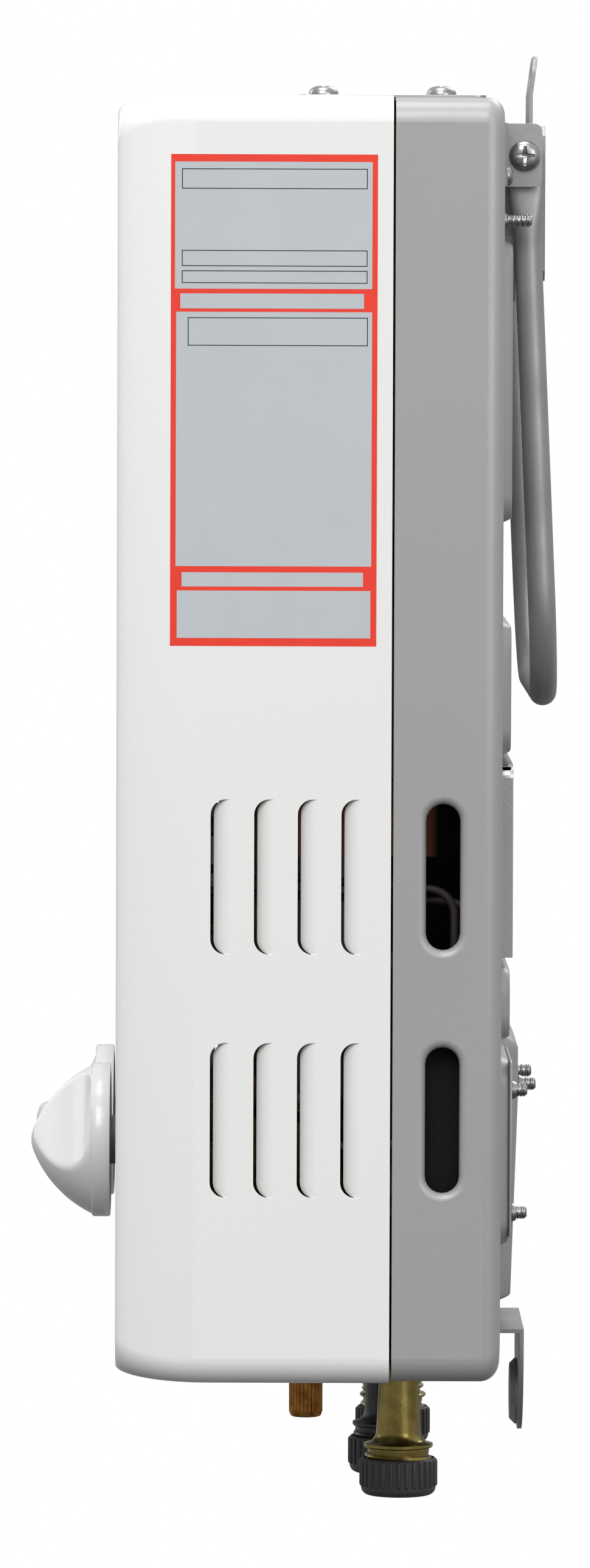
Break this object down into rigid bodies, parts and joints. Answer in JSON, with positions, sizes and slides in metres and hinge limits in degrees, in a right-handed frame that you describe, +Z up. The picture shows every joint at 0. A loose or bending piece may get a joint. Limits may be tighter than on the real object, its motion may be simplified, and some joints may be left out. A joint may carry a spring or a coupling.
{
  "type": "portable propane water heater",
  "caption": "Wall-hung portable gas water heater: white pressed cover with louvres, grey back pan, U handle, two knobs, capped brass fittings below.",
  "frame": {"origin": "centre of the hanging hole at the rear face of the hanger's tongue", "axes": "+Z up, -Y towards the front with the knobs, +X to the right seen from the front's back, the side with the water inlet"},
  "size_m": [0.292, 0.1601, 0.4385],
  "materials": {
    "white_enamel": "smooth satin enamel",
    "grey_enamel": "satin grey enamel",
    "stainless": "mill finish",
    "zinc": "grey zinc plate",
    "chrome_screw": "bright plate",
    "copper": "dull copper",
    "brass": "machined",
    "cast_alloy": "as cast",
    "burner_steel": "dull",
    "ceramic": "glazed",
    "lead_rubber": "silicone",
    "black_plastic": "fine grain",
    "grey_plastic": "moulded",
    "knob_plastic": "semi gloss",
    "diaphragm_rubber": "moulded",
    "bezel_chrome": "bright",
    "glass": "clear",
    "cell_jacket": "printed sleeve, blank",
    "plate_alloy": "satin"
  },
  "bodies": {
    "heater": {"front_cover": "white_enamel", "back_pan": "grey_enamel", "exhaust_plate": "stainless", "exhaust_plate_screws": "chrome_screw", "combustion_chamber": "copper", "flue_hood": "copper", "fin_block": "copper", "water_coil": "copper", "cold_pipe": "copper", "hot_pipe": "copper", "burner_tray": "burner_steel", "burner_bars": "burner_steel", "gas_manifold": "cast_alloy", "gas_nozzles": "brass", "igniter_electrode": "ceramic", "flame_sensor": "ceramic", "chamber_brackets": "zinc", "overheat_cutout": "black_plastic", "ignition_controller": "black_plastic", "igniter_lead": "lead_rubber", "sensor_lead": "lead_rubber", "gas_valve_body": "cast_alloy", "gas_solenoid": "zinc", "gas_feed_pipe": "cast_alloy", "water_valve_body": "brass", "diaphragm": "diaphragm_rubber", "diaphragm_cover": "brass", "micro_switch": "black_plastic", "cold_inlet_fitting": "brass", "hot_outlet_fitting": "brass", "gas_inlet_fitting": "brass", "window_bezel": "bezel_chrome", "window_glass": "glass", "battery_box": "black_plastic", "batteries": "cell_jacket", "hanger_bracket": "zinc", "handle_ears": "zinc", "ear_foot_screws": "chrome_screw", "handle_pivot_screws": "chrome_screw", "lower_bracket": "zinc", "lower_bracket_screws": "chrome_screw", "rear_shield": "stainless", "rear_plate": "plate_alloy", "back_studs": "chrome_screw"},
    "handle": {"carry_handle": "zinc"},
    "gas_control": {"gas_knob": "knob_plastic", "gas_spindle": "grey_plastic"},
    "water_control": {"water_knob": "knob_plastic", "water_spindle": "grey_plastic"},
    "drain": {"drain_plug": "brass"},
    "cold_cap": {"cold_inlet_cap": "grey_plastic"},
    "hot_cap": {"hot_outlet_cap": "grey_plastic"},
    "gas_cap": {"gas_inlet_cap": "grey_plastic"},
    "cell_door": {"battery_door": "black_plastic"},
    "flow_rod": {"push_rod": "brass"},
    "valve_plunger": {"gas_plunger": "brass"},
    "lever": {"switch_lever": "stainless"}
  },
  "joints": [
    {"name": "handle_swing", "type": "hinge", "parent": "heater", "child": "handle", "pos_m": [0, -0.00512, -0.0252], "axis": [1, 0, 0], "range_deg": [0, 175]},
    {"name": "gas_knob_turn", "type": "hinge", "parent": "heater", "child": "gas_control", "pos_m": [-0.0355, -0.13, -0.3267], "axis": [0, -1, 0], "range_deg": [-75, 75]},
    {"name": "water_knob_turn", "type": "hinge", "parent": "heater", "child": "water_control", "pos_m": [0.0355, -0.13, -0.3267], "axis": [0, -1, 0], "range_deg": [-55, 95]},
    {"name": "drain_plug_turn", "type": "hinge", "parent": "heater", "child": "drain", "pos_m": [0.04, -0.06932, -0.398], "axis": [0, 0, 1], "range_deg": [0, 720]},
    {"name": "cold_cap_pull", "type": "slide", "parent": "heater", "child": "cold_cap", "axis": [0, 0, -1], "range_m": [0, 0.02]},
    {"name": "hot_cap_pull", "type": "slide", "parent": "heater", "child": "hot_cap", "axis": [0, 0, -1], "range_m": [0, 0.02]},
    {"name": "gas_cap_pull", "type": "slide", "parent": "heater", "child": "gas_cap", "axis": [0, 0, -1], "range_m": [0, 0.02]},
    {"name": "battery_door_swing", "type": "hinge", "parent": "heater", "child": "cell_door", "pos_m": [-0.1062, -0.06172, -0.3892], "axis": [1, 0, 0], "range_deg": [0, 95]},
    {"name": "flow_rod_slide", "type": "slide", "parent": "heater", "child": "flow_rod", "axis": [-1, 0, 0], "range_m": [0, 0.0035], "stiffness_N_per_m": 100},
    {"name": "plunger_slide", "type": "slide", "parent": "heater", "child": "valve_plunger", "axis": [-1, 0, 0], "range_m": [0, 0.0036]},
    {"name": "switch_lever_swing", "type": "hinge", "parent": "heater", "child": "lever", "pos_m": [0.0018, -0.08112, -0.3245], "axis": [0, 1, 0], "range_deg": [0, 24.5]}
  ],
  "couplings": [
    {"joint": "plunger_slide", "follows": "flow_rod_slide", "ratio": 1},
    {"joint": "switch_lever_swing", "follows": "flow_rod_slide", "rad_per_m": 119.7}
  ]
}
